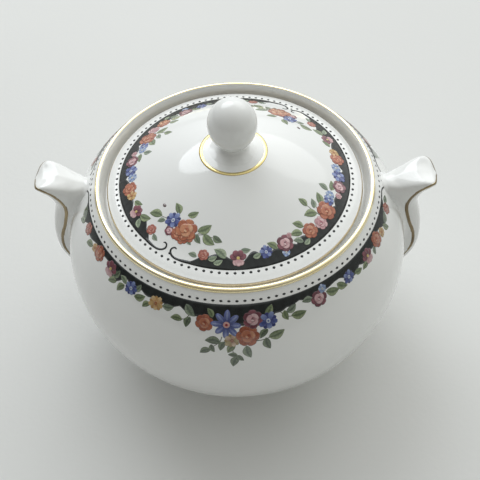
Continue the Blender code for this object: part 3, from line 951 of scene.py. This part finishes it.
def lay_bowl_border(films):
    ink = films["ink"]
    for centre in (-90.0, 90.0):
        add_band(ink, centre, *BOWL_BAND_ENDS, BOWL_BAND_EDGE, BOWL_BAND_DEPTH, BOWL_WAVES,
                 BOWL_BAND_TAPER, 1)
        for side in (1, -1):
            places = [(centre + side * angle, along) for angle, along in BOWL_SCROLL]
            add_stroke(ink, places, BOWL_SCROLL_WIDTHS, INK_LIFT, INK[0])
            add_dot(ink, centre + side * BOWL_SCROLL_DOT[0], *BOWL_SCROLL_DOT[1:])
        add_dot(ink, centre + BOWL_GAP_DOT[0], *BOWL_GAP_DOT[1:])
        lay_motifs(films, centre, BOWL_LEAVES, BOWL_STEMS, BOWL_FLOWERS, BOWL_STEM_WIDTHS)
    for dot in range(RIM_DOTS):
        add_dot(ink, 360 * dot / RIM_DOTS, *RIM_DOT)


def lay_lid_border(films):
    ink = films["ink"]
    along_of = LID_GLAZE.at_radius
    edge = along_of(LID_BAND_RADIUS)
    for turn, start, end in LID_GARLANDS:
        add_band(ink, turn, start, end, edge, LID_BAND_DEPTH, LID_WAVES, LID_BAND_TAPER, -1)
        for corner, side in ((start, -1), (end, 1)):
            places = [(turn + corner + side * beyond, along_of(radius)) for beyond, radius in LID_SCROLL]
            add_stroke(ink, places, LID_SCROLL_WIDTHS, INK_LIFT, INK[0])
        lay_motifs(films, turn, LID_LEAVES, LID_STEMS, LID_FLOWERS, LID_STEM_WIDTHS, along_of)
    bud_angle, bud_radius, *bud_size = POSY_BUD
    for middle in POSY_ANGLES:
        lay_motifs(films, middle, POSY_LEAVES, POSY_STEMS, POSY_FLOWERS, LID_STEM_WIDTHS, along_of)
        add_dot(films["leaf"], middle + bud_angle, along_of(bud_radius), *bud_size, LEAF_LIFT, BUD_COLOUR)
    for dot in range(LID_DOTS):
        add_dot(ink, 360 * dot / LID_DOTS, along_of(LID_DOT[0]), *LID_DOT[1:])
    for middle in POSY_ANGLES:
        add_dot(ink, middle, along_of(LID_GAP_DOT[0]), *LID_GAP_DOT[1:])


def decorate(prefix, body, glaze, layout, strength):
    """Lays one glaze's films. layout is a function that adds every motif to the films it is given."""
    films = {kind: Film(glaze) for kind in SLOT_OF}
    layout(films)
    for kind, film in films.items():
        if film.points:
            name = f"{prefix}_{kind}_enamel"
            fired = enamel(name, 0.3, 0.7, 0.15) if kind == "ink" else enamel(name, 0.22, strength)
            film.finish(name, body, SLOT_OF[kind], fired)


# ---------- gilding and lugs

def gilt_line(name, body, glaze, start, end, material, lift=GILT_LIFT):
    """A burnished line round a turned piece: a thin closed band with a rounded top that follows its glaze."""
    steps, sunk = 24, -0.05
    top, below = [], []
    for step in range(steps + 1):
        share = step / steps
        rounded = lift * (0.1 + 0.9 * math.sin(math.pi * share) ** 0.7)
        top.append(glaze.section(start + (end - start) * share, rounded))
        below.append(glaze.section(start + (end - start) * step / steps, sunk))
    piece = turned(name, top + below[::-1], material, closed=True)
    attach(piece, body)


def lug_section(position):
    """The lug's outer centre, inner centre, half width, widest share, boxiness and upturn at a position."""
    groups = ((0, 0), (0, 1), (1, 0), (1, 1), (2, None), (3, None), (4, None), (5, None))
    values = []
    for group, part in groups:
        stations = [station[group] if part is None else station[group][part] for station in LUG_STATIONS]
        values.append(through(stations, position))
    return values


def lug_point(section, angle):
    """A point on a ring of the lug on the +X side. At 0 degrees it is at the outer centre."""
    outer_r, outer_z, inner_r, inner_z, half_width, widest, boxiness, upturn = section
    inward = -math.cos(math.radians(angle))
    sine = math.sin(math.radians(angle))
    reach = widest * (1 + inward) if inward < 0 else widest + (1 - widest) * inward
    swell = abs(sine) ** (1.0 if inward < 0 else boxiness)
    across = math.copysign(max(half_width, 0.02) * swell, sine)
    height = outer_z + (inner_z - outer_z) * reach + upturn * swell * swell
    return Vector((outer_r + (inner_r - outer_r) * reach, across, height))


def lug_surface(position, angle):
    """A point of the lug and its outward normal."""
    step_p, step_a = 0.002, 1.0
    point = lug_point(lug_section(position), angle)
    low, high = max(position - step_p, 0.0), min(position + step_p, 1.0)
    along = lug_point(lug_section(high), angle) - lug_point(lug_section(low), angle)
    section = lug_section(position)
    around = lug_point(section, angle + step_a) - lug_point(section, angle - step_a)
    return point, around.cross(along).normalized()


def settle_on_belly(point, normal):
    """Widens the lug where it nears the belly, and keeps what is inside within the wall."""
    radius = math.hypot(point.x, point.y)
    wall = belly_radius_at(point.z)
    gap = radius - wall
    if gap < LUG_FILLET:
        squeeze = LUG_FILLET - max(gap, 0.0)
        spread = LUG_FILLET - math.sqrt(max(0.0, LUG_FILLET ** 2 - squeeze ** 2))
        slope = (point.z - WIDEST_Z) / (UPPER_HALF_HEIGHT if point.z > WIDEST_Z else LOWER_HALF_HEIGHT) ** 2
        rise = slope * BELLY_RADIUS ** 2 / max(wall, 1.0)
        out = Vector((point.x / radius, point.y / radius, rise)).normalized()
        flat = normal - out * normal.dot(out)
        point = point + flat * spread
    radius = math.hypot(point.x, point.y)
    floor = belly_radius_at(point.z) - LUG_SINK
    if radius < floor:
        point = Vector((point.x * floor / radius, point.y * floor / radius, point.z))
    return point


def make_lug(name, side, material):
    rings, sides = LUG_RINGS, LUG_SIDES
    points = []
    for ring in range(rings + 1):
        for index in range(sides):
            point, normal = lug_surface(ring / rings, 360 * index / sides)
            point = settle_on_belly(point, normal)
            points.append((side * point.x, side * point.y, point.z))
    rows = [tuple(range(ring * sides, (ring + 1) * sides)) for ring in range(rings + 1)]
    faces = quads(rows, wrap=True, flip=True) + [rows[0][::-1], rows[-1]]
    piece = make_mesh(name, points, faces, material, sharp=70.0)
    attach(piece, "bowl")
    return piece


def lug_gilding(name, side, material):
    """A gilt line along the lug's two edges that meets round the tip of its lobe."""
    points, faces = [], []
    for edge in (90, -90):
        rows = []
        for step in range(LUG_GILT_STEPS + 1):
            position = LUG_GILT_START + (1 - LUG_GILT_START) * step / LUG_GILT_STEPS
            section = lug_section(position)
            line = LUG_GILT_WIDTH * min(1.0, 0.15 + step / 40)
            row = []
            for share in (-1.0, -0.5, 0.0, 0.5, 1.0):
                want = abs(share) * line / 2
                turn, walked, last = edge, 0.0, lug_point(section, edge)
                while walked < want and abs(turn - edge) < 60:
                    turn += 1.5 if share > 0 else -1.5
                    here = lug_point(section, turn)
                    walked += (here - last).length
                    last = here
                point, normal = lug_surface(position, turn)
                point = settle_on_belly(point, normal) + normal * (0.04 if abs(share) < 1 else 0.005)
                points.append((side * point.x, side * point.y, point.z))
                row.append(len(points) - 1)
            rows.append(row)
        faces += quads(rows, flip=True)
    piece = make_mesh(name, points, faces, material, sharp=80.0)
    thicken(piece)
    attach(piece, "bowl")


# ---------- the object

def make_object():
    china = glazed_china()
    gold = burnished_gold("burnished_gold", (0.95, 0.86, 0.60), (0.86, 0.73, 0.42))
    # The lugs' gold is a dark brown: partly wear, partly painted shade standing in for the dark front of the
    # room that their lines reflect.
    wear_and_shade_gold = burnished_gold("wear_and_shade_gold", (0.34, 0.27, 0.16), (0.16, 0.12, 0.07))
    pale_gold = burnished_gold("pale_gold", (0.74, 0.62, 0.42), (0.50, 0.40, 0.25))
    ring_gold = burnished_gold("ring_gold", (0.74, 0.62, 0.30), (0.58, 0.46, 0.19))
    bowl = turned("bowl_china_body", bowl_profile(), china)
    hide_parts("bowl_body")
    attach(bowl, "bowl")
    foot = turned(
        "foot_bare_ring",
        [(FOOT_INNER_RADIUS + 0.5, 0.04), (FOOT_OUTER_RADIUS - 0.6, 0.04), (FOOT_OUTER_RADIUS - 0.7, 0.0),
         (FOOT_INNER_RADIUS + 0.6, 0.0)],
        bare_china(),
        closed=True,
    )
    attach(foot, "bowl")
    for name, node, side in (("lug_right", "handle_right", 1), ("lug_left", "handle_left", -1)):
        lug = make_lug(name, side, china)
        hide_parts(node)
        lug_gilding(f"{name}_gilding", side, wear_and_shade_gold)
    lid = turned("lid_china_dome", lid_profile(), china)
    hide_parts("lid")
    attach(lid, "cover")
    knob = turned("knob_china_ball", knob_profile(), china, turns=120)
    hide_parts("knob")
    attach(knob, "cover")
    gilt_line("rim_gilding", "bowl", BOWL_GLAZE, *RIM_GILT, gold)
    lid_edge = LID_GLAZE.at_radius(LID_EDGE_GILT_RADIUS)
    gilt_line("lid_edge_gilding", "cover", LID_GLAZE, lid_edge, lid_edge + LID_EDGE_GILT_WIDTH, pale_gold)
    knob_ring = [LID_GLAZE.at_radius(radius) for radius in KNOB_GILT_RADII]
    gilt_line("knob_ring_gilding", "cover", LID_GLAZE, *knob_ring, ring_gold, KNOB_GILT_LIFT)
    # The bowl's coloured enamels are darker than the lid's, 0.72 against 0.92: painted shade for the bowl's
    # belly, which sits in more shade than the lid.
    decorate("bowl", "bowl", BOWL_GLAZE, lay_bowl_border, 0.72)
    decorate("lid", "cover", LID_GLAZE, lay_lid_border, 0.92)


# ---------- floor, light and camera

def make_stage():
    half = FLOOR_HALF_WIDTH
    mesh = bpy.data.meshes.new("floor")
    corners = [(-half, -half, 0.0), (half, -half, 0.0), (half, half, 0.0), (-half, half, 0.0)]
    mesh.from_pydata(corners, [], [(0, 1, 2, 3)])
    mesh.materials.append(pale_floor())
    floor = add_object("floor", mesh)
    floor.location.z = -0.0001


def add_softbox(name, place, aim, width, height, power, colour):
    light = bpy.data.lights.new(name, "AREA")
    light.shape = "ELLIPSE"
    light.size = width
    light.size_y = height
    light.energy = power
    light.color = colour
    lamp = add_object(name, light)
    lamp.location = place
    lamp.rotation_euler = (Vector(aim) - Vector(place)).to_track_quat("-Z", "Y").to_euler()


# The room as soft lobes of light: where each is strongest, and its colour and strength.
ROOM_LOBES = (
    ((0.0, 0.0, 1.0), (0.345, 0.35, 0.345)),
    ((0.0, -1.0, 0.5), (0.08, 0.07, 0.06)),
    ((-0.7, -0.5, 0.6), (0.13, 0.13, 0.125)),
    ((0.0, 1.0, 0.6), (1.13, 1.15, 1.15)),
    ((1.0, 0.0, 0.5), (0.44, 0.45, 0.42)),
)


def make_room():
    """A world of lobes, each fading as the square of the cosine of the angle away from its middle."""
    world = bpy.data.worlds.new("room")
    world.use_nodes = True
    nodes, links = world.node_tree.nodes, world.node_tree.links

    def combine(kind, operation, first, second, output):
        node = nodes.new(kind)
        node.operation = operation
        links.new(first, node.inputs[0])
        if isinstance(second, bpy.types.NodeSocket):
            links.new(second, node.inputs[1])
        else:
            node.inputs[1].default_value = second
        return node.outputs[output]

    direction = nodes.new("ShaderNodeTexCoord").outputs["Generated"]
    total = None
    for axis, colour in ROOM_LOBES:
        middle = Vector(axis).normalized()
        towards = combine("ShaderNodeVectorMath", "DOT_PRODUCT", direction, middle, "Value")
        ahead = combine("ShaderNodeMath", "MAXIMUM", towards, 0.0, "Value")
        squared = combine("ShaderNodeMath", "POWER", ahead, 2.0, "Value")
        lobe = combine("ShaderNodeVectorMath", "MULTIPLY", squared, colour, "Vector")
        total = combine("ShaderNodeVectorMath", "ADD", total, lobe, "Vector") if total else lobe
    links.new(total, nodes["Background"].inputs["Color"])
    bpy.context.scene.world = world


def make_light():
    """Soft daylight from above and behind, with a dimmer room in front."""
    aim = (0.0, 0.0, 0.05)
    add_softbox("window_left", (-0.35, 0.85, 1.0), aim, 1.0, 0.8, 5.9, (0.95, 1.0, 1.04))
    add_softbox("window_right", (0.5, 0.85, 0.8), aim, 1.0, 0.8, 1.8, (1.0, 1.0, 1.0))
    make_room()


def make_camera():
    """Looks down on the object from the front, past the middle of the lid's ring of dots."""
    elevation, roll, heading = (math.radians(angle) for angle in (53.509, 2.184, -2.0))
    distance = 0.1851  # metres from the middle of the ring
    focal_widths = 1.266  # focal length over the sensor's width
    ring_right, ring_down = -0.00922, -0.10697  # the ring's middle off the line of sight, over its depth
    sensor_width = 36.0
    ring_centre = Vector((0.0, 0.0, 0.0715))
    ahead = Vector((0.0, math.cos(elevation), -math.sin(elevation)))
    right = Vector((1.0, 0.0, 0.0))
    down = ahead.cross(right)
    level_right = right * math.cos(roll) + down * math.sin(roll)
    level_down = down * math.cos(roll) - right * math.sin(roll)
    ray = (level_right * ring_right + level_down * ring_down + ahead).normalized()
    turn = Matrix.Rotation(-heading, 3, "Z")
    axes = [turn @ axis for axis in (level_right, -level_down, -ahead)]
    place = ring_centre - turn @ (ray * distance)
    camera = bpy.data.cameras.new("camera")
    camera.sensor_width = sensor_width
    camera.lens = focal_widths * sensor_width
    camera.clip_start = 0.005
    item = add_object("camera", camera)
    item.matrix_world = Matrix.Translation(place) @ Matrix(axes).transposed().to_4x4()
    bpy.context.scene.camera = item
    bpy.context.scene.view_settings.view_transform = "Standard"


make_object()
make_stage()
make_light()
make_camera()
